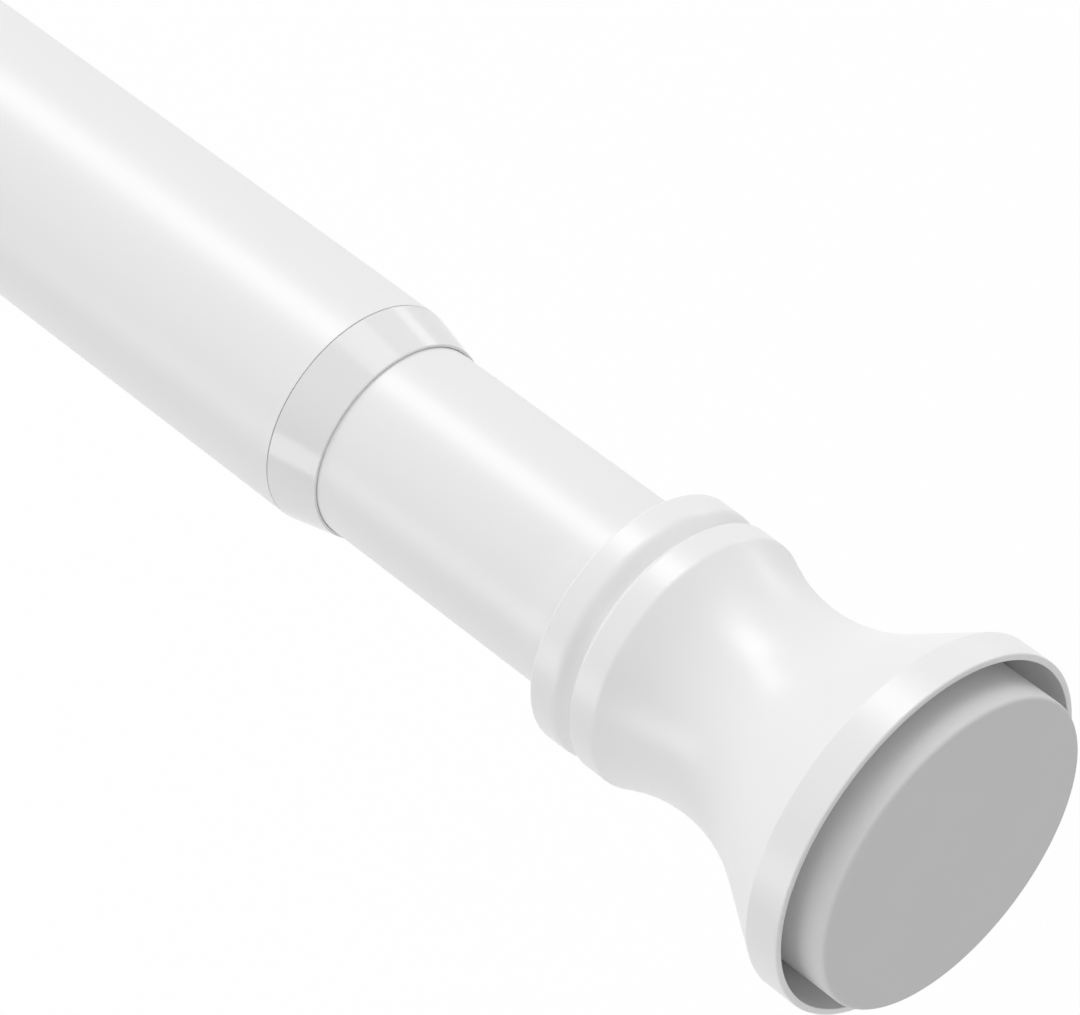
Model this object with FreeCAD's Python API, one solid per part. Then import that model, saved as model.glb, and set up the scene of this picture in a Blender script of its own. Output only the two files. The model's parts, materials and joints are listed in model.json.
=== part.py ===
import FreeCAD, Part
import math
import os

# Spring tension rod: a narrow tube telescopes in a wide one, and a spring inside presses the
# pair apart between two walls. Turning the narrow tube draws a wedge nut into a split expander,
# which grips the wide tube's bore and gives the spring something to push against.
# Sizes are in millimetres. The rod lies along X, with its origin at the centre of the pad face
# on the wide tube's end. The narrow tube's end points along +X.

# Tubes
outer_d = 25.4
outer_wall = 0.7
outer_length = 548.0
tube_gap = 0.95          # radial gap between the wide tube's bore and the narrow tube
inner_wall = 0.7
shown_reach = 34.34      # narrow tube in view, from the collar to the neck of its end bell

# Fits
fit_gap = 0.05           # radial gap of a piece pushed or cemented into its seat
run_gap = 0.08           # radial gap of a piece that turns or slides on a guide
slide_gap = 0.2          # radial gap of the narrow tube in the collar
edge = 0.3               # usual broken edge on moulded and turned pieces

# Collar on the wide tube's mouth
collar_length = 5.8
collar_spigot = 14.0
collar_lip = 0.3         # radial thickness left at the collar's front edge
seam_edge = 0.12         # rounding that leaves a fine line between tube and collar

# Trumpet-shaped end bells, measured from the neck to the mouth
bead_height = 3.23       # beads above the tube
bead_width = 3.14
quirk_width = 2.1        # sunk line between the two beads
quirk_depth = 0.85
quirk_rise = 0.5         # run of the line's steep side, under the second bead
bead_round = 2.0         # soft front edge of the first bead
second_bead = 2.2        # straight part of the second bead
shoulder_r = 4.96
waist_wall = 1.1         # bell wall over the tube at the waist
cavetto_r = 19.04
flare_angle = 32.64
rim_reach = 7.4          # rim beyond the wide tube
crease_round = 0.5
band_length = 3.9        # straight band at the mouth
rim_wall = 0.55
rim_round = 0.27
flare_wall = 1.25

# Pads and plugs that close the tubes
mouth_gap = 2.15         # radial gap between the pad and the bell's rim
pad_proud = 3.4          # how far the pad stands out of the bell's mouth
pad_round = 0.8
pad_clear = 0.4          # gap between pad or plug and the inside of the flare
plug_spigot = 22.0
plug_wall = 1.8
plug_slot = 2.4
boss_r = 6.0
boss_length = 4.6
boss_neck = 1.6          # length of the boss under its barb
barb = 0.6
socket_room = 0.3        # free depth in the pad beyond the boss

# Guide bush in the narrow tube's hidden mouth
bush_length = 14.0
bush_flange = 2.5
flange_gap = 0.35        # radial gap of the bush flange in the wide tube
crimp_depth = 0.45
crimp_half = 1.4         # half the width of a rolled crimp
crimp_round = 0.5

# Spindle, with flats that turn it with the bush
spindle_r = 4.0
flat_depth = 0.8         # depth of each flat below the round shaft
flat_gap = 0.15
thrust_height = 2.5      # thrust collar above the shaft
thrust_thick = 3.0
nose_step = 1.2          # radial step from the shaft to its nose
clip_thick = 0.8
clip_depth = 0.7         # depth of a clip's groove
clip_reach = 1.9         # clip's rim above the shaft
clip_open = 0.72         # width of a clip's opening, as a share of its groove's diameter
tip_length = 1.5         # shaft beyond a clip's groove

# Spring and its two seats
spring_length = 110.0
spring_travel = 24.0
spring_gap = 1.05        # radial gap of the spring in the narrow tube
wire_d = 2.0
spring_turns = 12.0
pilot_gap = 0.5          # radial gap of the pilots inside the spring
pilot_length = 6.0
follower_thick = 2.5
seat_gap = 0.75          # radial gap of the follower in the narrow tube
stop_length = 12.0
stop_core = 8.0          # depth of the hollow in the stop's front

# Expanding lock
travel_room = 2.0        # free shaft left when the spring is fully pressed
washer_thick = 1.0
washer_rim = 2.5         # washer beyond the thrust collar
expander_length = 28.0
hub_length = 8.0
grip_cone = 10.0         # half angle of the wedge
finger_wall = 2.3        # expander's wall at its open end
slot_width = 2.0
key_gap = 0.2            # gap on each side of a key in its slot
grip_pitch = 3.0
grip_depth = 0.4
ring_wire_d = 1.8
point_room = 7.0         # free depth between the wedge's point and the hub
nut_gap = 2.5            # nut flange behind the expander
nut_flange = 3.0
nut_rim_gap = 1.6        # radial gap of the nut flange in the wide tube
cone_gap = 0.12
nut_release = 2.0        # one turn of the spindle's thread
nut_room = 0.5
stow_room = 45.0         # free bore between the wide tube's plug and the spindle's tip

# Radii that follow from the tubes
outer_r = outer_d / 2
outer_bore = outer_r - outer_wall
inner_r = outer_bore - tube_gap
inner_bore = inner_r - inner_wall
rim_r = outer_r + rim_reach
pad_r = rim_r - rim_wall - mouth_gap
flare = math.radians(flare_angle)
flat_width = 2 * (spindle_r - flat_depth)
thrust_r = spindle_r + thrust_height
nose_r = spindle_r - nose_step
spring_mean_r = inner_bore - spring_gap - wire_d / 2
pilot_r = spring_mean_r - wire_d / 2 - pilot_gap
grip_r = outer_bore - run_gap
ring_wire_r = ring_wire_d / 2

X_AXIS = FreeCAD.Vector(1, 0, 0)
Y_AXIS = FreeCAD.Vector(0, 1, 0)
Z_AXIS = FreeCAD.Vector(0, 0, 1)
ORIGIN = FreeCAD.Vector(0, 0, 0)
FULL_TURN = 360
QUARTER_TURN = 90
SLIGHT = 1e-6


def outline(points):
    """Closed wire of lines in the XZ plane; a third value in a point rounds that corner."""
    corners = [FreeCAD.Vector(point[0], 0, point[1]) for point in points]
    rounds = [point[2] if len(point) > 2 else 0.0 for point in points]
    count = len(corners)
    entries = []
    exits = []
    arcs = []
    for i, here in enumerate(corners):
        back = (corners[i - 1] - here).normalize()
        ahead = (corners[(i + 1) % count] - here).normalize()
        half = back.getAngle(ahead) / 2
        setback = rounds[i] / math.tan(half)
        entries.append(here + back * setback)
        exits.append(here + ahead * setback)
        if rounds[i]:
            bisector = (back + ahead).normalize()
            middle = here + bisector * (rounds[i] / math.sin(half) - rounds[i])
            arcs.append(Part.Arc(entries[i], middle, exits[i]).toShape())
        else:
            arcs.append(None)
    edges = []
    for i in range(count):
        if arcs[i]:
            edges.append(arcs[i])
        start = exits[i]
        end = entries[(i + 1) % count]
        if start.distanceToPoint(end) > SLIGHT:
            edges.append(Part.LineSegment(start, end).toShape())
    return Part.Wire(Part.__sortEdges__(edges))


def turned(points):
    """Solid turned about X from a closed outline of (x, radius) corners."""
    return Part.Face(outline(points)).revolve(ORIGIN, X_AXIS, FULL_TURN)


def rod(radius, start, end):
    """Plain cylinder along X."""
    return Part.makeCylinder(radius, end - start, FreeCAD.Vector(start, 0, 0), X_AXIS)


def block(start, end, width_y, width_z):
    """Box along X, centred on the axis."""
    corner = FreeCAD.Vector(start, -width_y / 2, -width_z / 2)
    return Part.makeBox(end - start, width_y, width_z, corner)


def cross_slots(start, end, width, reach):
    """Two crossing slots along X, with round inner ends at end."""
    slots = []
    for axis in (Y_AXIS, Z_AXIS):
        widths = (reach, width) if axis == Y_AXIS else (width, reach)
        slots.append(block(start, end, *widths))
        slots.append(Part.makeCylinder(width / 2, reach, ORIGIN - axis * (reach / 2) + X_AXIS * end, axis))
    return slots


def dips(radius, centres, half, depth, rounding):
    """Corners of rounded V-shaped dips in a line of constant radius."""
    corners = []
    for centre in centres:
        corners.append((centre - half, radius, rounding))
        corners.append((centre, radius - depth, rounding))
        corners.append((centre + half, radius, rounding))
    return corners


def tube(radius, wall, start, end, crimps):
    """Tube along X with rolled crimps at the given places."""
    outside = dips(radius, crimps, crimp_half, crimp_depth, crimp_round)
    inside = dips(radius - wall, crimps, crimp_half, crimp_depth, crimp_round)
    corners = [(start, radius - wall), (start, radius, seam_edge)]
    corners += outside
    corners += [(end, radius, seam_edge), (end, radius - wall)]
    corners += reversed(inside)
    return turned(corners)


def clip(shaft_r, start):
    """Open spring clip in a groove of a shaft."""
    groove_r = shaft_r - clip_depth
    ring = rod(shaft_r + clip_reach, start, start + clip_thick).cut(rod(groove_r, start, start + clip_thick))
    reach = shaft_r + clip_reach + edge
    opening_width = 2 * groove_r * clip_open
    opening = Part.makeBox(clip_thick, opening_width, reach, FreeCAD.Vector(start, -opening_width / 2, 0))
    return ring.cut(opening)


class EndSet:
    """Bell, plug and pad that close one tube, drawn from the bell's neck towards the wall."""

    def __init__(self, tube_r, tube_bore):
        self.tube_r = tube_r
        self.tube_bore = tube_bore
        self.bead_r = tube_r + bead_height
        self.flange_r = (tube_r + pad_r) / 2
        self.place_flare()
        self.seat = self.inside_at(self.flange_r + pad_clear)
        self.pad_back = self.inside_at(pad_r + pad_clear)
        self.face = self.mouth + pad_proud

    def place_flare(self):
        """Tangent corners of the shoulder and the cavetto, then the crease and the mouth."""
        drop = bead_height - waist_wall
        slope = math.acos(1 - drop / (shoulder_r + cavetto_r))
        shoulder_run = shoulder_r * math.tan(slope / 2)
        slant = shoulder_run + cavetto_r * math.tan((slope + flare) / 2)
        shoulder_x = bead_width + quirk_width + second_bead + shoulder_run
        hollow_x = shoulder_x + slant * math.cos(slope)
        hollow_r = self.bead_r - slant * math.sin(slope)
        self.shoulder = (shoulder_x, self.bead_r, shoulder_r)
        self.hollow = (hollow_x, hollow_r, cavetto_r)
        self.crease = hollow_x + (rim_r - hollow_r) / math.tan(flare)
        self.mouth = self.crease + band_length

    def inside_at(self, radius):
        """Distance from the neck at which the inside of the flare has this radius."""
        outside = radius + flare_wall / math.cos(flare)
        return self.crease - (rim_r - outside) / math.tan(flare)

    def bell(self):
        bore = self.tube_r + fit_gap
        rim_bore = rim_r - rim_wall
        floor_r = self.flange_r + pad_clear
        return turned([
            (0, bore),
            (0, self.bead_r, edge),
            (bead_width, self.bead_r, bead_round),
            (bead_width + quirk_width - quirk_rise, self.bead_r - quirk_depth, edge / 2),
            (bead_width + quirk_width, self.bead_r, edge),
            self.shoulder,
            self.hollow,
            (self.crease, rim_r, crease_round),
            (self.mouth, rim_r, rim_round),
            (self.mouth, rim_bore, rim_round / 2),
            (self.inside_at(rim_bore), rim_bore),
            (self.seat, floor_r),
            (self.seat, bore),
        ])

    def plug(self):
        spigot_r = self.tube_bore - fit_gap
        core_r = spigot_r - plug_wall
        start = self.seat - plug_spigot
        body = turned([
            (start, core_r),
            (start, spigot_r, plug_wall / 2),
            (self.seat, spigot_r),
            (self.seat, self.flange_r, edge),
            (self.pad_back, self.flange_r, edge),
            (self.pad_back, boss_r - barb),
            (self.pad_back + boss_neck, boss_r - barb),
            (self.pad_back + boss_neck, boss_r),
            (self.pad_back + boss_length, boss_r, edge),
            (self.pad_back + boss_length, 0),
            (self.pad_back - plug_wall, 0),
            (self.pad_back - plug_wall, core_r),
        ])
        slot_end = self.seat - plug_wall * 2
        return body.cut(cross_slots(start, slot_end, plug_slot, 2 * self.tube_bore))

    def pad(self):
        neck_r = boss_r - barb + fit_gap
        barb_back = self.pad_back + boss_neck - fit_gap
        socket_end = self.pad_back + boss_length + socket_room
        return turned([
            (self.pad_back, neck_r),
            (self.pad_back, pad_r, edge),
            (self.face, pad_r, pad_round),
            (self.face, 0),
            (socket_end, 0),
            (socket_end, boss_r + fit_gap),
            (barb_back, boss_r + fit_gap),
            (barb_back, neck_r),
        ])


def make_collar(mouth):
    bore = inner_r + slide_gap
    spigot_r = outer_bore - fit_gap
    lip_r = bore + collar_lip
    return turned([
        (mouth - collar_spigot, bore, seam_edge),
        (mouth - collar_spigot, spigot_r, seam_edge),
        (mouth, spigot_r),
        (mouth, outer_r, seam_edge),
        (mouth + collar_length, lip_r, collar_lip / 3),
        (mouth + collar_length, bore, collar_lip / 3),
    ])


def make_bush(mouth, crimp):
    body_r = inner_bore - fit_gap
    flange_r = outer_bore - flange_gap
    corners = [
        (mouth - bush_flange, 0),
        (mouth - bush_flange, flange_r, edge),
        (mouth, flange_r, edge),
        (mouth, body_r),
    ]
    corners += dips(body_r, [crimp], crimp_half, crimp_depth, crimp_round)
    corners += [(mouth + bush_length, body_r, edge), (mouth + bush_length, 0)]
    hole_r = spindle_r + flat_gap
    hole_flats = flat_width + 2 * flat_gap
    ends = (mouth - bush_flange, mouth + bush_length)
    return turned(corners).cut(rod(hole_r, *ends).common(block(*ends, 2 * hole_r, hole_flats)))


def make_spindle(lock):
    """Threaded tail, thrust collar, flatted shank and the follower's nose, as one turned bar."""
    groove_r = spindle_r - clip_depth
    nose_groove_r = nose_r - clip_depth
    bar = turned([
        (lock.tip, 0),
        (lock.tip, spindle_r, edge),
        (lock.tail_clip, spindle_r),
        (lock.tail_clip, groove_r),
        (lock.tail_clip + clip_thick, groove_r),
        (lock.tail_clip + clip_thick, spindle_r),
        (lock.thrust, spindle_r),
        (lock.thrust, thrust_r, edge),
        (lock.thrust + thrust_thick, thrust_r, edge),
        (lock.thrust + thrust_thick, spindle_r),
        (lock.shank_end, spindle_r),
        (lock.shank_end, nose_r),
        (lock.nose_clip, nose_r),
        (lock.nose_clip, nose_groove_r),
        (lock.nose_clip + clip_thick, nose_groove_r),
        (lock.nose_clip + clip_thick, nose_r),
        (lock.nose_clip + clip_thick + tip_length, nose_r, edge),
        (lock.nose_clip + clip_thick + tip_length, 0),
    ])
    shank = (lock.thrust + thrust_thick, lock.shank_end)
    waste = rod(spindle_r + edge, *shank).cut(block(*shank, 2 * thrust_r, flat_width))
    return bar.cut(waste)


def make_follower(back):
    bore = nose_r + fit_gap
    seat = back + follower_thick
    return turned([
        (back, bore),
        (back, inner_bore - seat_gap, edge),
        (seat, inner_bore - seat_gap, edge),
        (seat, pilot_r),
        (seat + pilot_length, pilot_r, edge),
        (seat + pilot_length, bore),
    ])


def make_spring(start, end):
    """Open-coiled compression spring with ground flat ends."""
    lead = (end - start) / spring_turns
    spare = lead / 2
    height = end - start + 2 * spare
    helix = Part.makeHelix(lead, height, spring_mean_r)
    tangent = FreeCAD.Vector(0, 2 * math.pi * spring_mean_r, lead)
    section = Part.Circle(FreeCAD.Vector(spring_mean_r, 0, 0), tangent, wire_d / 2)
    coil = Part.Wire(helix.Edges).makePipeShell([Part.Wire(section.toShape())], True, True)
    coil.rotate(ORIGIN, Y_AXIS, QUARTER_TURN)
    coil.translate(X_AXIS * (start - spare))
    return coil.common(rod(spring_mean_r + wire_d, start, end))


def make_stop(seat, crimp):
    body_r = inner_bore - fit_gap
    core_r = body_r - plug_wall
    front = seat + stop_length
    corners = [
        (seat - pilot_length, 0),
        (seat - pilot_length, pilot_r, edge),
        (seat, pilot_r),
        (seat, body_r, edge),
    ]
    corners += dips(body_r, [crimp], crimp_half, crimp_depth, crimp_round)
    corners += [
        (front, body_r, edge),
        (front, core_r),
        (front - stop_core, core_r, edge),
        (front - stop_core, 0),
    ]
    return turned(corners)


class Lock:
    """Places along X of the spindle and the expanding lock, from the bush's flange backwards."""

    def __init__(self, bush_back, follower_back):
        self.thrust = bush_back - spring_travel - travel_room - thrust_thick
        self.front = self.thrust - washer_thick
        self.hub = self.front - hub_length
        self.rear = self.front - expander_length
        self.point = self.hub - point_room
        self.slot_end = self.hub - slot_width
        self.nut_back = self.rear - nut_gap - nut_flange
        self.tail_clip = self.nut_back - nut_release - nut_room - clip_thick
        self.tip = self.tail_clip - tip_length
        self.shank_end = follower_back
        self.nose_clip = follower_back + follower_thick + pilot_length

    def cone_r(self, x, gap=0.0):
        """Radius of the grip cone at a place along X."""
        angle = math.radians(grip_cone)
        return grip_r - finger_wall - (x - self.rear) * math.tan(angle) - gap / math.cos(angle)


def make_expander(lock):
    ring_r = grip_r - ring_wire_d - fit_gap
    ring_x = lock.front - hub_length / 2
    ring_half = ring_wire_r + fit_gap
    grip_count = int((lock.slot_end - lock.rear) / grip_pitch) - 1
    grips = [lock.rear + (i + 1) * grip_pitch for i in range(grip_count)]
    corners = [(lock.rear, lock.cone_r(lock.rear)), (lock.rear, grip_r, edge)]
    corners += dips(grip_r, grips, grip_depth * 2, grip_depth, 0.0)
    corners += [
        (ring_x - ring_half, grip_r),
        (ring_x - ring_half, ring_r),
        (ring_x + ring_half, ring_r),
        (ring_x + ring_half, grip_r),
        (lock.front, grip_r, edge),
        (lock.front, spindle_r + run_gap),
        (lock.hub, spindle_r + run_gap),
        (lock.hub, lock.cone_r(lock.hub)),
    ]
    return turned(corners).cut(cross_slots(lock.rear, lock.slot_end, slot_width, 2 * outer_d))


def make_drag_ring(lock):
    centre = FreeCAD.Vector(lock.front - hub_length / 2, 0, 0)
    return Part.makeTorus(grip_r - ring_wire_r, ring_wire_r, centre, X_AXIS)


def make_wedge_nut(lock):
    """Cone with a rear flange, and keys that slide in the expander's slots."""
    bore = spindle_r + run_gap
    flange_end = lock.nut_back + nut_flange
    nut_r = outer_bore - nut_rim_gap
    key_r = grip_r - 2 * grip_depth
    key_width = slot_width - 2 * key_gap
    ends = (flange_end, lock.point)
    keys = block(*ends, key_width, 2 * key_r).fuse(block(*ends, 2 * key_r, key_width))
    cone = turned([
        (lock.nut_back, 0),
        (lock.nut_back, nut_r, edge),
        (flange_end, nut_r, edge),
        (flange_end, lock.cone_r(lock.rear, cone_gap)),
        (lock.rear, lock.cone_r(lock.rear, cone_gap)),
        (lock.point, lock.cone_r(lock.point, cone_gap)),
        (lock.point, 0),
    ])
    keys = keys.common(rod(key_r, *ends))
    return cone.fuse(keys).cut(rod(bore, lock.nut_back, lock.point)).removeSplitter()


def make_thrust_washer(lock):
    ends = (lock.front, lock.thrust)
    return rod(thrust_r + washer_rim, *ends).cut(rod(spindle_r + fit_gap, *ends))


# Places along X at rest, from the wide tube's pad face
outer_end = EndSet(outer_r, outer_bore)
inner_end = EndSet(inner_r, inner_bore)
outer_start = outer_end.face - outer_end.seat
outer_mouth = outer_start + outer_length
neck = outer_mouth + collar_length + shown_reach
inner_front = neck + inner_end.seat
spindle_tail = outer_start + plug_spigot + stow_room
lock_length = Lock(0.0, 0.0).tip
bush_back = spindle_tail - lock_length
inner_mouth = bush_back + bush_flange
follower_back = inner_mouth + bush_length
lock = Lock(bush_back, follower_back)
spring_start = follower_back + follower_thick
spring_end = spring_start + spring_length
bush_crimp = inner_mouth + bush_length / 2
stop_crimp = spring_end + stop_length / 2

nodes = {
    "outer_tube": tube(outer_r, outer_wall, outer_start, outer_mouth, []),
    "tube_collar": make_collar(outer_mouth),
    "inner_tube": tube(inner_r, inner_wall, inner_mouth, inner_front, [bush_crimp, stop_crimp]),
    "guide_bush": make_bush(inner_mouth, bush_crimp),
    "lock_spindle": make_spindle(lock),
    "spindle_tail_clip": clip(spindle_r, lock.tail_clip),
    "thrust_washer": make_thrust_washer(lock),
    "split_expander": make_expander(lock),
    "drag_ring": make_drag_ring(lock),
    "wedge_nut": make_wedge_nut(lock),
    "spring_follower": make_follower(follower_back),
    "follower_clip": clip(nose_r, lock.nose_clip),
    "tension_spring": make_spring(spring_start, spring_end),
    "spring_stop": make_stop(spring_end, stop_crimp),
}

for name, end_set, place in (("outer_end", outer_end, 0.0), ("inner_end", inner_end, neck)):
    for piece, shape in (("bell", end_set.bell()), ("plug", end_set.plug()), ("pad", end_set.pad())):
        if end_set is outer_end:
            shape.translate(X_AXIS * -end_set.face)
            shape.rotate(ORIGIN, Z_AXIS, FULL_TURN / 2)
        shape.translate(X_AXIS * place)
        nodes[name + "_" + piece] = shape

os.makedirs("parts", exist_ok=True)
for name, shape in nodes.items():
    shape.exportStep("parts/" + name + ".step")
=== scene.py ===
import json
import math

import bmesh
import bpy
from bpy.props import FloatProperty, FloatVectorProperty, IntProperty, PointerProperty
from mathutils import Matrix, Vector


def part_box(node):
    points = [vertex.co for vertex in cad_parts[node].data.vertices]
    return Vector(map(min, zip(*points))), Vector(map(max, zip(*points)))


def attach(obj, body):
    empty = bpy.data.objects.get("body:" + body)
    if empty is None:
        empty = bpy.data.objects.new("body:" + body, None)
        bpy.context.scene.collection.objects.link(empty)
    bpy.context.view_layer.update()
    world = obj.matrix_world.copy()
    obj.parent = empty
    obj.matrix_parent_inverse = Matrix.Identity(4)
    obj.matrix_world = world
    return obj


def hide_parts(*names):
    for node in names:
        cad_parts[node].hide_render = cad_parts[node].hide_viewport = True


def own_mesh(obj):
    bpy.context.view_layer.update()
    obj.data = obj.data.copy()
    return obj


bl_info = {
    "name": "Spring tension rod",
    "version": (1, 0, 0),
    "blender": (4, 5, 0),
    "location": "3D View > Sidebar > Tension Rod",
    "description": "Draws a telescopic spring tension rod round its frame and gives it its finishes",
    "category": "Object",
}

# The rod lies along X, in metres, with the wide tube's pad at the origin
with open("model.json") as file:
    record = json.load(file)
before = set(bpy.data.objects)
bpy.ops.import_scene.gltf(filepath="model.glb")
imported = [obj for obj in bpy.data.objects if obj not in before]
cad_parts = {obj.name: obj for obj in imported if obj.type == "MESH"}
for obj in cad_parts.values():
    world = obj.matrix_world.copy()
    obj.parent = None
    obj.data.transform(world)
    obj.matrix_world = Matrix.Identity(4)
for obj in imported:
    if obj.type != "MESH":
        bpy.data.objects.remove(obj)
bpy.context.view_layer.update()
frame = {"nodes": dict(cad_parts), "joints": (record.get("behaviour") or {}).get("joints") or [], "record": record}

FULL_TURN = 2 * math.pi
QUARTER_TURN = math.pi / 2
WHITE = (1.0, 1.0, 1.0, 1.0)
BODY_OF = {node: body for body, nodes in frame["record"]["behaviour"]["bodies"].items() for node in nodes}
SLOT_OF = {row["node"]: row["material_slot"] for row in frame["record"]["subparts"]}


def start_of(node):
    """Place along X where a node begins."""
    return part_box(node)[0].x


def end_of(node):
    """Place along X where a node ends."""
    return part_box(node)[1].x


def radius_of(node):
    """Largest radius of a node about the rod's axis."""
    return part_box(node)[1].z


def length(name, description, default):
    """Length in metres that a user may change."""
    return FloatProperty(
        name=name, description=description, default=default, min=0.0, precision=5, unit="LENGTH"
    )


def angle(name, description, degrees):
    """Angle that a user may change, with its default in degrees."""
    return FloatProperty(
        name=name, description=description, default=math.radians(degrees), subtype="ANGLE"
    )


def share(name, description, default):
    """Share from 0 to 1 that a user may change."""
    return FloatProperty(
        name=name, description=description, default=default, min=0.0, max=1.0, subtype="FACTOR"
    )


def colour(name, description, default):
    """Colour that a user may change."""
    return FloatVectorProperty(
        name=name, description=description, default=default, size=3, min=0.0, max=1.0, subtype="COLOR"
    )


def power(name, description, default):
    """Power of a lamp in watts that a user may change."""
    return FloatProperty(
        name=name, description=description, default=default, min=0.0, unit="POWER"
    )


def count(name, description, default, least):
    """Whole number that a user may change."""
    return IntProperty(name=name, description=description, default=default, min=least)


class MeshFineness(bpy.types.PropertyGroup):
    """How finely the turned pieces are drawn."""

    around: count("Around", "Faces round a turned piece", 192, least=24)
    arc_step: angle("Arc step", "Turn between two points of a rounded corner", 6.0)
    run_step: length("Run step", "Longest face along a straight run", 0.006)
    crease: angle("Crease", "Corners sharper than this stay crisp", 35.0)


class TubeSizes(bpy.types.PropertyGroup):
    """Sizes of the two tubes and the collar between them."""

    wall: length("Wall", "Thickness of both steel tubes", 0.0007)
    end_round: length("End rounding", "Rounding of the tubes' cut ends", 0.00006)
    seam: length("Seam", "Fine gap between the wide tube's mouth and the collar", 0.0001)
    crimp_half: length("Crimp half width", "Half the width of a rolled crimp", 0.0014)
    crimp_depth: length("Crimp depth", "Depth of a rolled crimp", 0.00045)
    crimp_round: length("Crimp rounding", "Rounding of a rolled crimp", 0.0005)
    push_gap: length("Push gap", "Radial gap of the collar in the wide tube", 0.00005)
    slide_gap: length("Slide gap", "Radial gap of the narrow tube in the collar", 0.00004)
    collar_lip: length("Collar lip", "Thickness of the collar's front edge", 0.0003)


class BellSizes(bpy.types.PropertyGroup):
    """Outline of the trumpet-shaped end bells, from the neck to the mouth."""

    fit_gap: length("Fit gap", "Radial gap of the bell on its tube", 0.00005)
    edge: length("Edge", "Broken edge of the beads", 0.0003)
    bead_height: length("Bead height", "Height of the beads above the tube", 0.00323)
    bead_width: length("First bead", "Width of the first bead", 0.00314)
    bead_round: length("Bead rounding", "Soft front edge of the first bead", 0.002)
    quirk_width: length("Quirk width", "Width of the sunk line between the beads", 0.0021)
    quirk_depth: length("Quirk depth", "Depth of the sunk line", 0.001)
    quirk_rise: length("Quirk rise", "Run of the sunk line's steep side", 0.0004)
    second_bead: length("Second bead", "Straight part of the second bead", 0.0022)
    bead_chamfer: length("Bead chamfer", "Chamfer on the second bead's back edge", 0.0004)
    bead_crease: length("Bead crease", "Rounding of the second bead's front edge", 0.0012)
    shoulder: length("Shoulder", "Radius that leads down to the waist", 0.00496)
    waist_wall: length("Waist wall", "Wall over the tube at the waist", 0.0011)
    cavetto: length("Cavetto", "Radius of the hollow sweep", 0.01904)
    flare: angle("Flare", "Slope of the flare at the mouth", 32.64)
    crease_round: length("Crease", "Rounding where the flare meets the band", 0.0003)
    band: length("Band", "Straight band at the mouth", 0.0039)
    rim_wall: length("Rim wall", "Thickness of the rim", 0.00072)
    rim_round: length("Rim rounding", "Rounding of the rim's front edge", 0.0002)
    flare_wall: length("Flare wall", "Thickness of the flare", 0.00125)


class PadSizes(bpy.types.PropertyGroup):
    """Sizes of the rubber pads and of the socket in each for its plug's boss."""

    face_round: length("Face rounding", "Rounding of the pad's front edge", 0.0005)
    back_edge: length("Back edge", "Broken edge at the pad's back", 0.0003)
    socket: length("Socket", "Radius of the socket over the boss's barb", 0.00605)
    neck: length("Neck", "Radius of the socket's mouth", 0.00545)
    neck_length: length("Neck length", "Depth of the socket's mouth", 0.00155)
    socket_depth: length("Socket depth", "Depth of the whole socket", 0.0049)


class SpringSizes(bpy.types.PropertyGroup):
    """Sizes of the spring and of the spindle that it pushes."""

    wire: length("Wire", "Diameter of the spring's wire", 0.002)
    turns: FloatProperty(name="Turns", description="Turns of the spring", default=12.0, min=1.0)
    steps: count("Steps", "Faces along one turn of the spring", 60, least=12)
    sides: count("Sides", "Faces round the wire", 18, least=6)
    shaft: length("Shaft", "Radius of the spindle", 0.004)
    edge: length("Edge", "Broken edge of the spindle", 0.0003)
    flat_depth: length("Flat depth", "Depth of the flats that the bush turns", 0.0008)
    thrust: length("Thrust collar", "Radius of the spindle's thrust collar", 0.0065)
    thrust_width: length("Thrust width", "Width of the thrust collar", 0.003)
    nose: length("Nose", "Radius of the nose that holds the follower", 0.0028)
    groove: length("Groove", "Depth of the clip grooves", 0.0007)
    pitch: length("Pitch", "Pitch of the spindle's thread", 0.002)
    thread_depth: length("Thread depth", "Depth of the spindle's thread", 0.0007)
    thread_rings: count("Thread rings", "Rings of faces along one pitch of the thread", 10, least=4)


class FinishLook(bpy.types.PropertyGroup):
    """Colours and gloss of the finishes."""

    enamel: colour("Enamel", "Satin enamel on the tubes", (0.84, 0.84, 0.84))
    enamel_rough: share("Enamel roughness", "Roughness of the satin enamel", 0.36)
    moulding: colour("Moulding", "White plastic of the bells", (0.84, 0.84, 0.84))
    moulding_rough: share("Moulding roughness", "Roughness of the bells", 0.33)
    collar: colour("Collar", "White plastic of the collar", (0.82, 0.82, 0.82))
    collar_rough: share("Collar roughness", "Roughness of the polished collar", 0.17)
    pad: colour("Pad", "Grey rubber of the pads", (0.68, 0.68, 0.68))
    pad_rough: share("Pad roughness", "Roughness of the grey rubber", 0.62)
    nylon: colour("Nylon", "Natural nylon of the hidden mouldings", (0.76, 0.73, 0.64))
    nylon_rough: share("Nylon roughness", "Roughness of the natural nylon", 0.45)
    steel: colour("Steel", "Zinc plated steel", (0.62, 0.63, 0.65))
    steel_rough: share("Steel roughness", "Roughness of the plated steel", 0.32)
    ring: colour("Ring", "Black rubber of the drag ring", (0.02, 0.02, 0.02))
    ring_rough: share("Ring roughness", "Roughness of the black rubber", 0.6)


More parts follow.
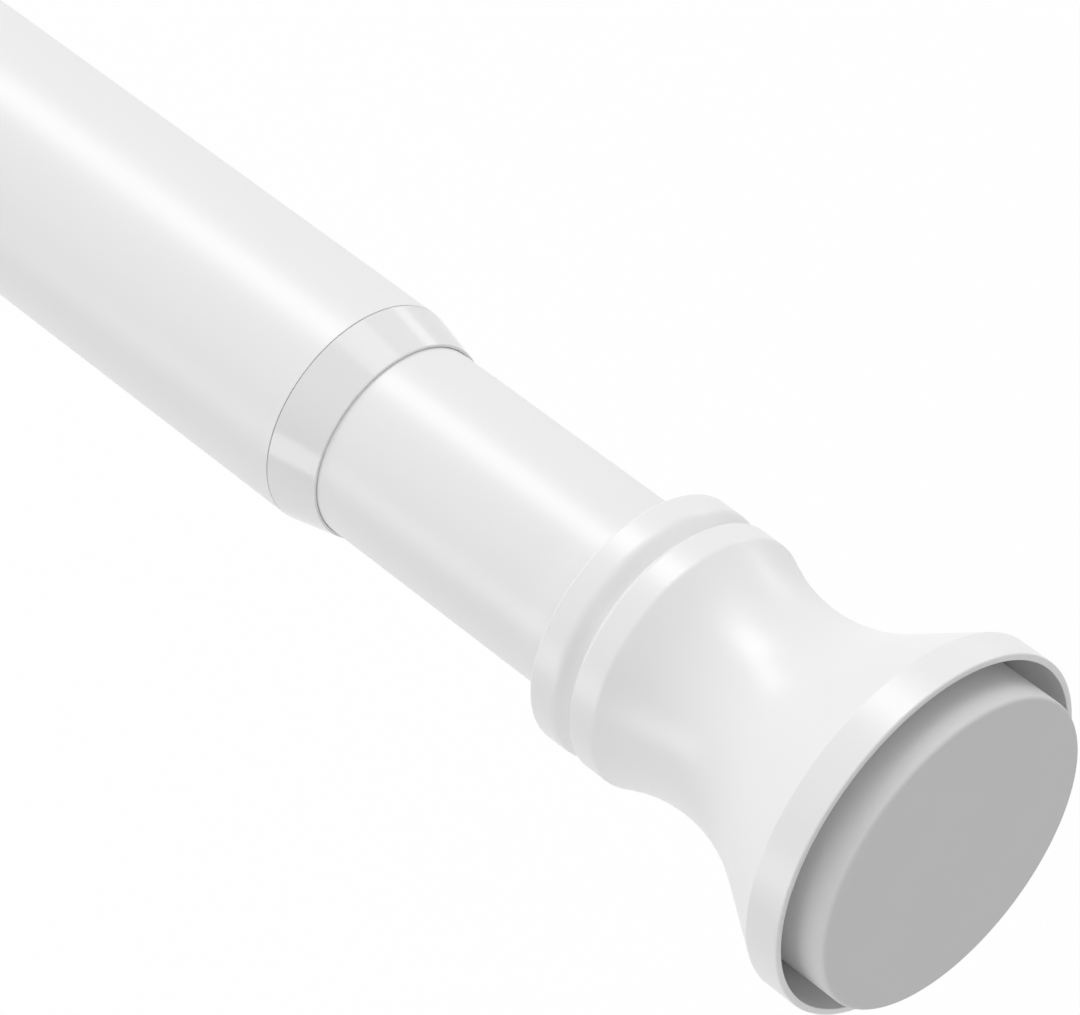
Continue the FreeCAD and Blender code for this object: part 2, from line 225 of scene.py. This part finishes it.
class StageLook(bpy.types.PropertyGroup):
    """Floor, lamps and camera."""

    floor_drop: length("Floor drop", "Floor below the rod's axis", 0.52)
    floor_radius: length("Floor radius", "Radius of the round floor", 24.0)
    floor_sides: count("Floor sides", "Straight edges round the floor", 128, least=24)
    floor: colour("Floor", "Pale floor as it throws light back on the rod", (0.62, 0.62, 0.62))
    floor_seen: colour("Floor seen", "White floor as it looks", (1.0, 1.0, 1.0))
    floor_white: share("Floor white", "How much of the floor's look is plain white by the rod", 0.75)
    floor_fade: length("Floor fade", "Distance at which the floor is plain white", 3.0)
    sky: FloatProperty(name="Sky", description="Light from all round", default=0.49, min=0.0)
    key: power("Key", "Power of the lamp that draws the bright line along the tubes", 40.0)
    tail: power("Tail", "Power of the long lamp over the wide tube", 33.0)
    over: power("Over", "Power of the lamp above the collar", 2.3)
    side: power("Side", "Power of the long low lamp on the rod's near side", 3.2)
    fill: power("Fill", "Power of the lamp beside the camera", 2.0)
    front: power("Front", "Power of the lamp that faces the pad", 2.1)
    far: power("Far", "Power of the lamp on the rod's far side", 1.5)
    lens: FloatProperty(
        name="Lens", description="Focal length in millimetres", default=173.73, min=1.0, unit="CAMERA"
    )
    distance: length("Distance", "Camera to the point it looks at", 0.51)
    azimuth: angle("Azimuth", "Turn of the camera about the vertical", 46.58)
    elevation: angle("Elevation", "Camera above the horizon", 44.45)
    aim: FloatVectorProperty(
        name="Aim",
        description="Point the camera looks at, from the wide tube's mouth",
        default=(0.02765, -0.00102, 0.00707),
        size=3,
        subtype="TRANSLATION",
    )


def corner_arc(here, back, ahead, rounding, step):
    """Points of the arc that rounds a corner, or the corner itself."""
    if not rounding:
        return [here]
    half = back.angle(ahead) / 2
    centre = here + (back + ahead).normalized() * (rounding / math.sin(half))
    spoke = here + back * (rounding / math.tan(half)) - centre
    sweep = math.copysign(math.pi - 2 * half, -back.cross(ahead))
    steps = max(2, math.ceil(abs(sweep) / step))
    return [centre + Matrix.Rotation(sweep * k / steps, 2) @ spoke for k in range(steps + 1)]


def outline(corners, fine):
    """Points round a closed outline of (x, radius, rounding) corners, with long runs divided."""
    places = [Vector(corner[:2]) for corner in corners]
    points = []
    for i, here in enumerate(places):
        back = (places[i - 1] - here).normalized()
        ahead = (places[(i + 1) % len(places)] - here).normalized()
        rounding = corners[i][2] if len(corners[i]) > 2 else 0.0
        points += corner_arc(here, back, ahead, rounding, fine.arc_step)
    divided = []
    for here, there in zip(points, points[1:] + points[:1]):
        on_axis = here.y == 0 and there.y == 0
        parts = 1 if on_axis else max(1, math.ceil((there - here).length / fine.run_step))
        divided += [here.lerp(there, k / parts) for k in range(parts)]
    return divided


def dips(radius, centres, sizes):
    """Corners of rolled crimps in a line of constant radius."""
    corners = []
    for centre in centres:
        corners.append((centre - sizes.crimp_half, radius, sizes.crimp_round))
        corners.append((centre, radius - sizes.crimp_depth, sizes.crimp_round))
        corners.append((centre + sizes.crimp_half, radius, sizes.crimp_round))
    return corners


def piece_from(name, bm, crease):
    """New object from a closed mesh, with smooth faces and crisp corners."""
    bmesh.ops.recalc_face_normals(bm, faces=bm.faces)
    for face in bm.faces:
        face.smooth = True
    for edge in bm.edges:
        edge.smooth = edge.calc_face_angle(0.0) < crease
    mesh = bpy.data.meshes.new(name)
    bm.to_mesh(mesh)
    bm.free()
    piece = bpy.data.objects.new(name, mesh)
    bpy.context.scene.collection.objects.link(piece)
    return piece


def turned(name, corners, relief=None):
    """Piece turned about X; relief(x, radius, angle) may change the radius round a ring."""
    fine = bpy.context.scene.rod_mesh
    bm = bmesh.new()
    rings = []
    for x, radius in outline(corners, fine):
        if radius == 0:
            rings.append([bm.verts.new((x, 0, 0))])
            continue
        ring = []
        for k in range(fine.around):
            turn = FULL_TURN * k / fine.around
            reach = relief(x, radius, turn) if relief else radius
            ring.append(bm.verts.new((x, reach * math.cos(turn), reach * math.sin(turn))))
        rings.append(ring)
    for near, far in zip(rings, rings[1:] + rings[:1]):
        if len(near) == len(far) == 1:
            continue
        for k in range(fine.around):
            ahead = (k + 1) % fine.around
            # On the axis a pair is one vertex twice, and the face is a triangle
            near_pair = [near[k % len(near)], near[ahead % len(near)]]
            far_pair = [far[k % len(far)], far[ahead % len(far)]]
            bm.faces.new(dict.fromkeys([near_pair[0], *far_pair, near_pair[1]]))
    piece = piece_from(name, bm, fine.crease)
    even = piece.modifiers.new("Even shading", "WEIGHTED_NORMAL")
    even.keep_sharp = True
    return piece


def fit(piece, node):
    """Piece takes a node's place, body and finish."""
    piece.data.materials.append(finish_for(node))
    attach(piece, BODY_OF[node])
    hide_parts(node)


class Value:
    """A shader socket; sums and products with it add Math nodes."""

    def __init__(self, finish, socket):
        self.finish = finish
        self.socket = socket

    def maths(self, operation, first, second):
        """Math node on two values or numbers."""
        return self.finish.add("ShaderNodeMath", {"operation": operation}, {0: first, 1: second})

    def __add__(self, other):
        return self.maths("ADD", self, other)

    def __sub__(self, other):
        return self.maths("SUBTRACT", self, other)

    def __rsub__(self, other):
        return self.maths("SUBTRACT", other, self)

    def __mul__(self, other):
        return self.maths("MULTIPLY", self, other)

    __radd__ = __add__
    __rmul__ = __mul__


class Finish:
    """One node tree, with a method that adds any node to it."""

    def __init__(self, owner):
        owner.use_nodes = True
        self.owner = owner
        self.tree = owner.node_tree
        self.tree.nodes.clear()

    def add(self, kind, settings, sockets, output=0):
        """New node with its settings made first, then its sockets; gives one of its outputs."""
        node = self.tree.nodes.new(kind)
        for key, value in settings.items():
            setattr(node, key, value)
        for key, value in sockets.items():
            if isinstance(value, Value):
                self.tree.links.new(value.socket, node.inputs[key])
            else:
                node.inputs[key].default_value = value
        return Value(self, node.outputs[output]) if node.outputs else node

    def place(self):
        """Point on the piece in its own frame."""
        return self.add("ShaderNodeTexCoord", {}, {}, output="Object")

    def stretched(self, place, scale):
        """Place with its axes scaled, so that a grain on it is longer where the scale is low."""
        return self.add("ShaderNodeMapping", {}, {"Vector": place, "Scale": scale})

    def grain(self, place, per_metre, detail=2.0):
        """Noise from 0 to 1 with so many spots to the metre."""
        sockets = {"Vector": place, "Scale": per_metre, "Detail": detail}
        return self.add("ShaderNodeTexNoise", {}, sockets)

    def mix(self, mask, first, second):
        """Colour between two colours."""
        settings = {"data_type": "RGBA", "blend_type": "MIX"}
        return self.add("ShaderNodeMix", settings, {0: mask, 6: first, 7: second}, output=2)

    def shades(self, mask, rgb, darkest, lightest):
        """Colour that a mask moves from a darker to a lighter shade of itself."""
        return self.mix(mask, shade(rgb, darkest), shade(rgb, lightest))

    def bump(self, mask, height):
        """Normal raised by a mask, with the height in metres where the mask is 1."""
        return self.add("ShaderNodeBump", {}, {"Height": mask, "Distance": height})

    def surface(self, sockets):
        """Principled shader as the tree's surface."""
        shader = self.add("ShaderNodeBsdfPrincipled", {}, sockets)
        self.add("ShaderNodeOutputMaterial", {}, {"Surface": shader})
        return self.owner


def shade(rgb, factor=1.0):
    """Plain colour, darker or lighter, with its alpha."""
    return tuple(min(1.0, channel * factor) for channel in rgb) + (1.0,)


def about(middle, mask, spread):
    """Number that a mask moves by a spread, half of it to each side of the middle."""
    return middle - spread / 2 + spread * mask


def satin_enamel(look):
    """Sprayed white enamel: slow drift in colour, soft orange peel, satin gloss."""
    finish = Finish(bpy.data.materials.new("satin_enamel"))
    place = finish.place()
    drift = finish.grain(place, per_metre=28.0)
    peel = finish.grain(place, per_metre=620.0, detail=1.0)
    return finish.surface({
        "Base Color": finish.shades(drift, look.enamel, darkest=0.985, lightest=1.01),
        "Roughness": about(look.enamel_rough, drift, spread=0.06),
        "Normal": finish.bump(peel, height=2.0e-6),
        "IOR": 1.5,
    })


def white_plastic(name, tint, roughness):
    """White moulding with faint flow marks along the rod."""
    finish = Finish(bpy.data.materials.new(name))
    place = finish.place()
    flow = finish.grain(finish.stretched(place, scale=(0.25, 1.0, 1.0)), per_metre=160.0)
    skin = finish.grain(place, per_metre=1400.0, detail=1.0)
    return finish.surface({
        "Base Color": finish.shades(flow, tint, darkest=0.988, lightest=1.008),
        "Roughness": about(roughness, flow, spread=0.04),
        "Normal": finish.bump(skin, height=6.0e-7),
        "IOR": 1.5,
    })


def bell_plastic(look):
    """Satin white moulding of the bells."""
    return white_plastic("satin_bell_plastic", look.moulding, look.moulding_rough)


def collar_plastic(look):
    """Polished white moulding of the collar."""
    return white_plastic("polished_collar_plastic", look.collar, look.collar_rough)


def pad_rubber(look):
    """Matt grey rubber with a fine grain and a little bloom."""
    finish = Finish(bpy.data.materials.new("grey_pad_rubber"))
    place = finish.place()
    bloom = finish.grain(place, per_metre=90.0, detail=3.0)
    grain = finish.grain(place, per_metre=2600.0)
    return finish.surface({
        "Base Color": finish.shades(bloom, look.pad, darkest=0.975, lightest=1.02),
        "Roughness": about(look.pad_rough, grain, spread=0.1),
        "Normal": finish.bump(grain, height=4.0e-6),
        "IOR": 1.45,
    })


def natural_nylon(look):
    """Milky nylon with cloudy patches and a dull skin."""
    finish = Finish(bpy.data.materials.new("milky_nylon"))
    place = finish.place()
    cloud = finish.grain(place, per_metre=120.0, detail=3.0)
    skin = finish.grain(place, per_metre=1800.0)
    return finish.surface({
        "Base Color": finish.shades(cloud, look.nylon, darkest=0.93, lightest=1.05),
        "Roughness": about(look.nylon_rough, cloud, spread=0.14),
        "Normal": finish.bump(skin, height=2.0e-6),
        "Subsurface Weight": 0.12,
        "Subsurface Scale": 0.001,
    })


def zinc_steel(look):
    """Zinc plated steel with tool marks round the rod's axis."""
    finish = Finish(bpy.data.materials.new("zinc_steel"))
    place = finish.place()
    round_place = finish.stretched(place, scale=(1.0, 0.03, 0.03))
    marks = finish.grain(round_place, per_metre=5200.0, detail=3.0)
    tarnish = finish.grain(place, per_metre=210.0, detail=3.0)
    wear = 0.6 * marks + 0.4 * tarnish
    return finish.surface({
        "Base Color": finish.shades(tarnish, look.steel, darkest=0.86, lightest=1.08),
        "Metallic": 1.0,
        "Roughness": about(look.steel_rough, wear, spread=0.2),
        "Normal": finish.bump(marks, height=2.5e-6),
    })


def ring_rubber(look):
    """Black rubber with a dusty skin."""
    finish = Finish(bpy.data.materials.new("black_ring_rubber"))
    dust = finish.grain(finish.place(), per_metre=900.0, detail=3.0)
    return finish.surface({
        "Base Color": finish.shades(dust, look.ring, darkest=0.7, lightest=1.9),
        "Roughness": about(look.ring_rough, dust, spread=0.2),
        "Normal": finish.bump(dust, height=6.0e-6),
    })


FINISH_MAKERS = {
    "tube_paint": satin_enamel,
    "white_plastic": bell_plastic,
    "pad_rubber": pad_rubber,
    "natural_nylon": natural_nylon,
    "bright_steel": zinc_steel,
    "ring_rubber": ring_rubber,
}
OWN_FINISH = {"tube_collar": collar_plastic}
finishes = {}


def finish_for(node):
    """Material of a node's slot or of its own, made once."""
    maker = OWN_FINISH.get(node, FINISH_MAKERS[SLOT_OF[node]])
    if maker not in finishes:
        finishes[maker] = maker(bpy.context.scene.rod_finish)
    return finishes[maker]


def tube_corners(node, sizes, crimps):
    """Outline of one tube, with its crimps."""
    outside = radius_of(node)
    inside = outside - sizes.wall
    corners = [(start_of(node), inside), (start_of(node), outside, sizes.end_round)]
    corners += dips(outside, crimps, sizes)
    corners += [(end_of(node), outside, sizes.end_round), (end_of(node), inside)]
    corners += reversed(dips(inside, crimps, sizes))
    return corners


class TENSIONROD_OT_tubes(bpy.types.Operator):
    """Draw the wide tube and the narrow tube that slides in it"""

    bl_idname = "tension_rod.tubes"
    bl_label = "Draw Tubes"

    def execute(self, context):
        sizes = context.scene.rod_tubes
        bush_crimp = (start_of("inner_tube") + end_of("guide_bush")) / 2
        stop_crimp = (end_of("tension_spring") + end_of("spring_stop")) / 2
        for node, name, crimps in (
            ("outer_tube", "wide_tube", []),
            ("inner_tube", "narrow_tube", [bush_crimp, stop_crimp]),
        ):
            fit(turned(name, tube_corners(node, sizes, crimps)), node)
        return {"FINISHED"}


class TENSIONROD_OT_collar(bpy.types.Operator):
    """Draw the tapered collar in the wide tube's mouth"""

    bl_idname = "tension_rod.collar"
    bl_label = "Draw Collar"

    def execute(self, context):
        sizes = context.scene.rod_tubes
        back = start_of("tube_collar")
        mouth = end_of("outer_tube")
        front = end_of("tube_collar")
        bore = radius_of("inner_tube") + sizes.slide_gap
        spigot = radius_of("outer_tube") - sizes.wall - sizes.push_gap
        lip_round = sizes.collar_lip / 3
        piece = turned("collar", [
            (back, bore, sizes.end_round),
            (back, spigot, sizes.end_round),
            (mouth + sizes.seam, spigot),
            (mouth + sizes.seam, radius_of("outer_tube"), sizes.end_round),
            (front, bore + sizes.collar_lip, lip_round),
            (front, bore, lip_round),
        ])
        fit(piece, "tube_collar")
        return {"FINISHED"}


def placed(corners, foot, towards):
    """Outline of distances from a foot, set along X towards one end of the rod."""
    return [(foot + towards * x, *rest) for x, *rest in corners]


def bell_corners(sizes, tube_radius, rim_radius, mouth, seat):
    """Outline of a bell as distances from its neck: mouth is its length, seat its plug's flange."""
    bead = tube_radius + sizes.bead_height
    bore = tube_radius + sizes.fit_gap
    rim_bore = rim_radius - sizes.rim_wall
    drop = sizes.bead_height - sizes.waist_wall
    slope = math.acos(1 - drop / (sizes.shoulder + sizes.cavetto))
    shoulder_run = sizes.shoulder * math.tan(slope / 2)
    slant = shoulder_run + sizes.cavetto * math.tan((slope + sizes.flare) / 2)
    quirk_end = sizes.bead_width + sizes.quirk_width
    shoulder = quirk_end + sizes.second_bead + shoulder_run
    crease = mouth - sizes.band
    flare_foot = rim_radius - sizes.flare_wall / math.cos(sizes.flare)
    return [
        (0.0, bore),
        (0.0, bead, sizes.edge),
        (sizes.bead_width, bead, sizes.bead_round),
        (quirk_end - sizes.quirk_rise, bead - sizes.quirk_depth, sizes.edge / 2),
        (quirk_end, bead - sizes.bead_chamfer, sizes.edge / 3),
        (quirk_end + sizes.bead_chamfer, bead, sizes.edge / 3),
        (shoulder, bead, sizes.bead_crease),
        (shoulder + slant * math.cos(slope), bead - slant * math.sin(slope), sizes.cavetto),
        (crease, rim_radius, sizes.crease_round),
        (mouth, rim_radius, sizes.rim_round),
        (mouth, rim_bore, sizes.rim_round / 2),
        (crease - (flare_foot - rim_bore) / math.tan(sizes.flare), rim_bore),
        (seat, flare_foot - (crease - seat) * math.tan(sizes.flare)),
        (seat, bore),
    ]


class TENSIONROD_OT_bells(bpy.types.Operator):
    """Draw the trumpet-shaped bell on each end"""

    bl_idname = "tension_rod.bells"
    bl_label = "Draw End Bells"

    def execute(self, context):
        sizes = context.scene.rod_bells
        for node, name, tube, towards in (
            ("outer_end_bell", "wide_end_bell", "outer_tube", -1.0),
            ("inner_end_bell", "narrow_end_bell", "inner_tube", 1.0),
        ):
            low, high = start_of(node), end_of(node)
            foot = high if towards < 0 else low
            tube_end = start_of(tube) if towards < 0 else end_of(tube)
            seat = abs(tube_end - foot)
            corners = bell_corners(sizes, radius_of(tube), radius_of(node), high - low, seat)
            fit(turned(name, placed(corners, foot, towards)), node)
        return {"FINISHED"}


class TENSIONROD_OT_pads(bpy.types.Operator):
    """Draw the rubber pad that each end presses on its wall"""

    bl_idname = "tension_rod.pads"
    bl_label = "Draw End Pads"

    def execute(self, context):
        sizes = context.scene.rod_pads
        for node, name, towards in (
            ("outer_end_pad", "wide_end_pad", -1.0),
            ("inner_end_pad", "narrow_end_pad", 1.0),
        ):
            low, high = start_of(node), end_of(node)
            foot = high if towards < 0 else low
            rim = radius_of(node)
            corners = [
                (0.0, sizes.neck),
                (0.0, rim, sizes.back_edge),
                (high - low, rim, sizes.face_round),
                (high - low, 0.0),
                (sizes.socket_depth, 0.0),
                (sizes.socket_depth, sizes.socket),
                (sizes.neck_length, sizes.socket),
                (sizes.neck_length, sizes.neck),
            ]
            fit(turned(name, placed(corners, foot, towards)), node)
        return {"FINISHED"}


def coil(bm, sizes, mean_radius, start, end):
    """Tube of wire wound about X, with half a turn to spare past each end."""
    lead = (end - start) / sizes.turns
    steps = round((sizes.turns + 1) * sizes.steps)
    rise = math.atan2(lead, FULL_TURN * mean_radius)
    along = Vector((math.sin(rise), 0.0, 0.0))
    rings = []
    for k in range(steps + 1):
        turn = FULL_TURN * k / sizes.steps
        out = Vector((0.0, math.cos(turn), math.sin(turn)))
        round_axis = Vector((0.0, -math.sin(turn), math.cos(turn)))
        side = (along + round_axis * math.cos(rise)).cross(out)
        centre = out * mean_radius + Vector((start - lead / 2 + lead * k / sizes.steps, 0.0, 0.0))
        ring = []
        for j in range(sizes.sides):
            around = FULL_TURN * j / sizes.sides
            spoke = out * math.cos(around) + side * math.sin(around)
            ring.append(bm.verts.new(centre + spoke * (sizes.wire / 2)))
        rings.append(ring)
    for near, far in zip(rings, rings[1:]):
        for j in range(sizes.sides):
            ahead = (j + 1) % sizes.sides
            bm.faces.new((near[j], far[j], far[ahead], near[ahead]))


def grind_flat(bm, place, outward):
    """Cut the wire off at a place along X and close the cut."""
    everything = bm.verts[:] + bm.edges[:] + bm.faces[:]
    cut = bmesh.ops.bisect_plane(
        bm, geom=everything, plane_co=(place, 0, 0), plane_no=(outward, 0, 0), clear_outer=True
    )
    edges = [item for item in cut["geom_cut"] if isinstance(item, bmesh.types.BMEdge)]
    bmesh.ops.holes_fill(bm, edges=edges)


class TENSIONROD_OT_spring(bpy.types.Operator):
    """Wind the tension spring at one fixed length; the real spring shortens as the rod is pressed between its
    walls
    """

    bl_idname = "tension_rod.spring"
    bl_label = "Wind Spring"

    def execute(self, context):
        sizes = context.scene.rod_spring
        node = "tension_spring"
        low, high = start_of(node), end_of(node)
        bm = bmesh.new()
        coil(bm, sizes, radius_of(node) - sizes.wire / 2, low, high)
        grind_flat(bm, low, -1.0)
        grind_flat(bm, high, 1.0)
        piece = piece_from("coil_spring", bm, context.scene.rod_mesh.crease)
        fit(piece, node)
        travel = next(joint for joint in frame["joints"] if joint["name"] == "spring_travel")
        pressed = max(abs(limit) for limit in travel["range_m"])
        keep = 1 - pressed / (high - low)
        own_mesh(piece)
        return {"FINISHED"}


class TENSIONROD_OT_spindle(bpy.types.Operator):
    """Draw the spindle with its thread, thrust collar, flats and nose"""

    bl_idname = "tension_rod.spindle"
    bl_label = "Draw Spindle"

    def execute(self, context):
        sizes = context.scene.rod_spring
        node = "lock_spindle"
        tail_groove = (start_of("spindle_tail_clip"), end_of("spindle_tail_clip"))
        nose_groove = (start_of("follower_clip"), end_of("follower_clip"))
        thrust = (end_of("thrust_washer"), end_of("thrust_washer") + sizes.thrust_width)
        shank_end = start_of("spring_follower")
        half_flats = sizes.shaft - sizes.flat_depth
        ring_step = sizes.pitch / sizes.thread_rings
        thread_start = tail_groove[1]
        thread_steps = math.ceil((end_of("wedge_nut") - thread_start) / ring_step)
        # Half a step inside its end rings, so that rounding cannot move the thread's ends
        thread = (thread_start + ring_step / 2, thread_start + ring_step * (thread_steps - 0.5))

        def relief(x, radius, turn):
            """Radius with the thread before the thrust collar and the flats past it."""
            if radius > sizes.shaft:
                return radius
            if x > sum(thrust) / 2:
                return min(radius, half_flats / max(abs(math.sin(turn)), half_flats / sizes.shaft))
            if thread[0] < x < thread[1]:
                phase = (x / sizes.pitch - turn / FULL_TURN) % 1.0
                return radius - sizes.thread_depth * (1 - abs(2 * phase - 1))
            return radius

        corners = [
            (start_of(node), 0.0),
            (start_of(node), sizes.shaft, sizes.edge),
            (tail_groove[0], sizes.shaft),
            (tail_groove[0], sizes.shaft - sizes.groove),
            (tail_groove[1], sizes.shaft - sizes.groove),
            (tail_groove[1], sizes.shaft),
            *((thread_start + ring_step * k, sizes.shaft) for k in range(1, thread_steps + 1)),
            (thrust[0], sizes.shaft),
            (thrust[0], sizes.thrust, sizes.edge),
            (thrust[1], sizes.thrust, sizes.edge),
            (thrust[1], sizes.shaft),
            (shank_end, sizes.shaft),
            (shank_end, sizes.nose),
            (nose_groove[0], sizes.nose),
            (nose_groove[0], sizes.nose - sizes.groove),
            (nose_groove[1], sizes.nose - sizes.groove),
            (nose_groove[1], sizes.nose),
            (end_of(node), sizes.nose, sizes.edge),
            (end_of(node), 0.0),
        ]
        piece = turned("threaded_spindle", corners, relief)
        fit(piece, node)
        return {"FINISHED"}


class TENSIONROD_OT_hidden(bpy.types.Operator):
    """Finish the plugs, bush, lock and clips that stay as the frame has them"""

    bl_idname = "tension_rod.hidden"
    bl_label = "Finish Hidden Pieces"

    def execute(self, context):
        for node, piece in frame["nodes"].items():
            if piece.hide_render:
                continue
            for slot in piece.material_slots:
                slot.material = finish_for(node)
        return {"FINISHED"}


def seen_plainly(finish):
    """1 for rays from the camera, a gloss or a glass, and 0 for light on the way to a matt surface."""
    camera, gloss, glass = (
        finish.add("ShaderNodeLightPath", {}, {}, output=f"Is {kind} Ray")
        for kind in ("Camera", "Glossy", "Transmission")
    )
    return finish.add("ShaderNodeMath", {"operation": "MINIMUM"}, {0: camera + gloss + glass, 1: 1.0})


def pale_floor(look):
    """Round pale floor that reads white and keeps the rod's shadow."""
    bm = bmesh.new()
    bmesh.ops.create_circle(bm, cap_ends=True, segments=look.floor_sides, radius=look.floor_radius)
    floor = piece_from("floor", bm, QUARTER_TURN)
    floor.location.z = -look.floor_drop
    finish = Finish(bpy.data.materials.new("pale_floor"))
    plainly = seen_plainly(finish)
    matt = finish.add("ShaderNodeBsdfPrincipled", {}, {
        "Base Color": finish.mix(plainly, shade(look.floor), shade(look.floor_seen)),
        "Roughness": 1.0,
        "Specular IOR Level": 0.0,
    })
    white = finish.add("ShaderNodeEmission", {}, {"Color": WHITE, "Strength": 1.0})
    distance = finish.add(
        "ShaderNodeVectorMath", {"operation": "LENGTH"}, {0: finish.place()}, output="Value"
    )
    whiteness = finish.add("ShaderNodeMapRange", {"interpolation_type": "SMOOTHSTEP"}, {
        "Value": distance,
        "From Min": 0.0,
        "From Max": look.floor_fade,
        "To Min": look.floor_white,
        "To Max": 1.0,
    })
    seen = finish.add("ShaderNodeMixShader", {}, {0: whiteness * plainly, 1: matt, 2: white})
    finish.add("ShaderNodeOutputMaterial", {}, {"Surface": seen})
    floor.data.materials.append(finish.owner)


def white_surround(look):
    """World that shows white and lights the rod at a plain level."""
    world = bpy.data.worlds.new("white_surround")
    bpy.context.scene.world = world
    finish = Finish(world)
    strength = look.sky + (1.0 - look.sky) * seen_plainly(finish)
    light = finish.add("ShaderNodeBackground", {}, {"Color": WHITE, "Strength": strength})
    finish.add("ShaderNodeOutputWorld", {}, {"Surface": light})


def lamp(name, turn, along, reach, facing, size, watts):
    """Soft rectangular lamp: turn is about the rod from straight up, along and facing are on its axis."""
    neck = Vector((start_of("inner_end_bell"), 0.0, 0.0))
    offset = Vector((along, reach * math.sin(turn), reach * math.cos(turn)))
    away = (offset - Vector((facing, 0.0, 0.0))).normalized()
    across = Vector((0.0, math.cos(turn), -math.sin(turn)))
    light = bpy.data.lights.new(name, "AREA")
    light.shape = "RECTANGLE"
    light.size, light.size_y = size
    light.energy = watts
    holder = bpy.data.objects.new(name, light)
    holder.location = neck + offset
    holder.rotation_mode = "QUATERNION"
    holder.rotation_quaternion = Matrix((across, away.cross(across), away)).transposed().to_quaternion()
    holder.visible_camera = False
    bpy.context.scene.collection.objects.link(holder)


class TENSIONROD_OT_stage(bpy.types.Operator):
    """Set the pale floor, the soft lamps and the camera"""

    bl_idname = "tension_rod.stage"
    bl_label = "Set Stage"

    def execute(self, context):
        look = context.scene.rod_stage
        mouth = Vector((end_of("outer_tube"), 0.0, 0.0))
        pale_floor(look)
        white_surround(look)
        for name, turn, along, reach, facing, size, watts in (
            ("key_lamp", 12.0, -1.9, 3.1, 0.0, (1.3, 1.5), look.key),
            ("tail_lamp", 4.0, -4.2, 2.9, 0.0, (0.8, 2.4), look.tail),
            ("over_lamp", 18.0, -0.35, 1.4, -0.35, (0.8, 0.5), look.over),
            ("side_lamp", -102.0, -0.35, 1.0, -0.35, (0.4, 0.9), look.side),
            ("fill_lamp", -50.0, 0.9, 1.2, 0.0, (0.6, 0.6), look.fill),
            ("front_lamp", 23.0, 1.5, 0.6, 0.0, (0.6, 0.6), look.front),
            ("far_lamp", 75.0, -0.3, 1.6, 0.0, (0.4, 0.6), look.far),
        ):
            lamp(name, math.radians(turn), along, reach, facing, size, watts)
        camera = bpy.data.cameras.new("camera")
        camera.sensor_fit = "HORIZONTAL"
        camera.lens = look.lens
        camera.clip_start = look.distance / 10
        holder = bpy.data.objects.new("camera", camera)
        holder.rotation_euler = (QUARTER_TURN - look.elevation, 0.0, look.azimuth)
        back = holder.rotation_euler.to_matrix() @ Vector((0.0, 0.0, look.distance))
        holder.location = mouth + Vector(look.aim) + back
        context.scene.collection.objects.link(holder)
        context.scene.camera = holder
        context.scene.view_settings.view_transform = "Standard"
        return {"FINISHED"}


class TENSIONROD_PT_rod(bpy.types.Panel):
    """Sidebar panel with the rod's sizes, finishes and drawing steps"""

    bl_idname = "TENSIONROD_PT_rod"
    bl_label = "Tension Rod"
    bl_space_type = "VIEW_3D"
    bl_region_type = "UI"
    bl_category = "Tension Rod"

    def draw(self, context):
        for operator in OPERATORS:
            self.layout.operator(operator.bl_idname)
        for name, group in GROUPS.items():
            box = self.layout.box()
            box.label(text=group.__doc__)
            for size in group.__annotations__:
                box.prop(getattr(context.scene, name), size)


GROUPS = {
    "rod_mesh": MeshFineness,
    "rod_tubes": TubeSizes,
    "rod_bells": BellSizes,
    "rod_pads": PadSizes,
    "rod_spring": SpringSizes,
    "rod_finish": FinishLook,
    "rod_stage": StageLook,
}
OPERATORS = (
    TENSIONROD_OT_tubes,
    TENSIONROD_OT_collar,
    TENSIONROD_OT_bells,
    TENSIONROD_OT_pads,
    TENSIONROD_OT_spring,
    TENSIONROD_OT_spindle,
    TENSIONROD_OT_hidden,
    TENSIONROD_OT_stage,
)
CLASSES = (*GROUPS.values(), *OPERATORS, TENSIONROD_PT_rod)


def register():
    """Add the classes and give each scene its groups of sizes."""
    for kind in CLASSES:
        bpy.utils.register_class(kind)
    for name, group in GROUPS.items():
        setattr(bpy.types.Scene, name, PointerProperty(type=group))


def unregister():
    """Take the groups and the classes away again."""
    for name in GROUPS:
        delattr(bpy.types.Scene, name)
    for kind in reversed(CLASSES):
        bpy.utils.unregister_class(kind)


def main():
    """Draw the whole rod on its stage."""
    register()
    bpy.ops.tension_rod.tubes()
    bpy.ops.tension_rod.collar()
    bpy.ops.tension_rod.bells()
    bpy.ops.tension_rod.pads()
    bpy.ops.tension_rod.spring()
    bpy.ops.tension_rod.spindle()
    bpy.ops.tension_rod.hidden()
    bpy.ops.tension_rod.stage()


if __name__ == "__main__":
    main()
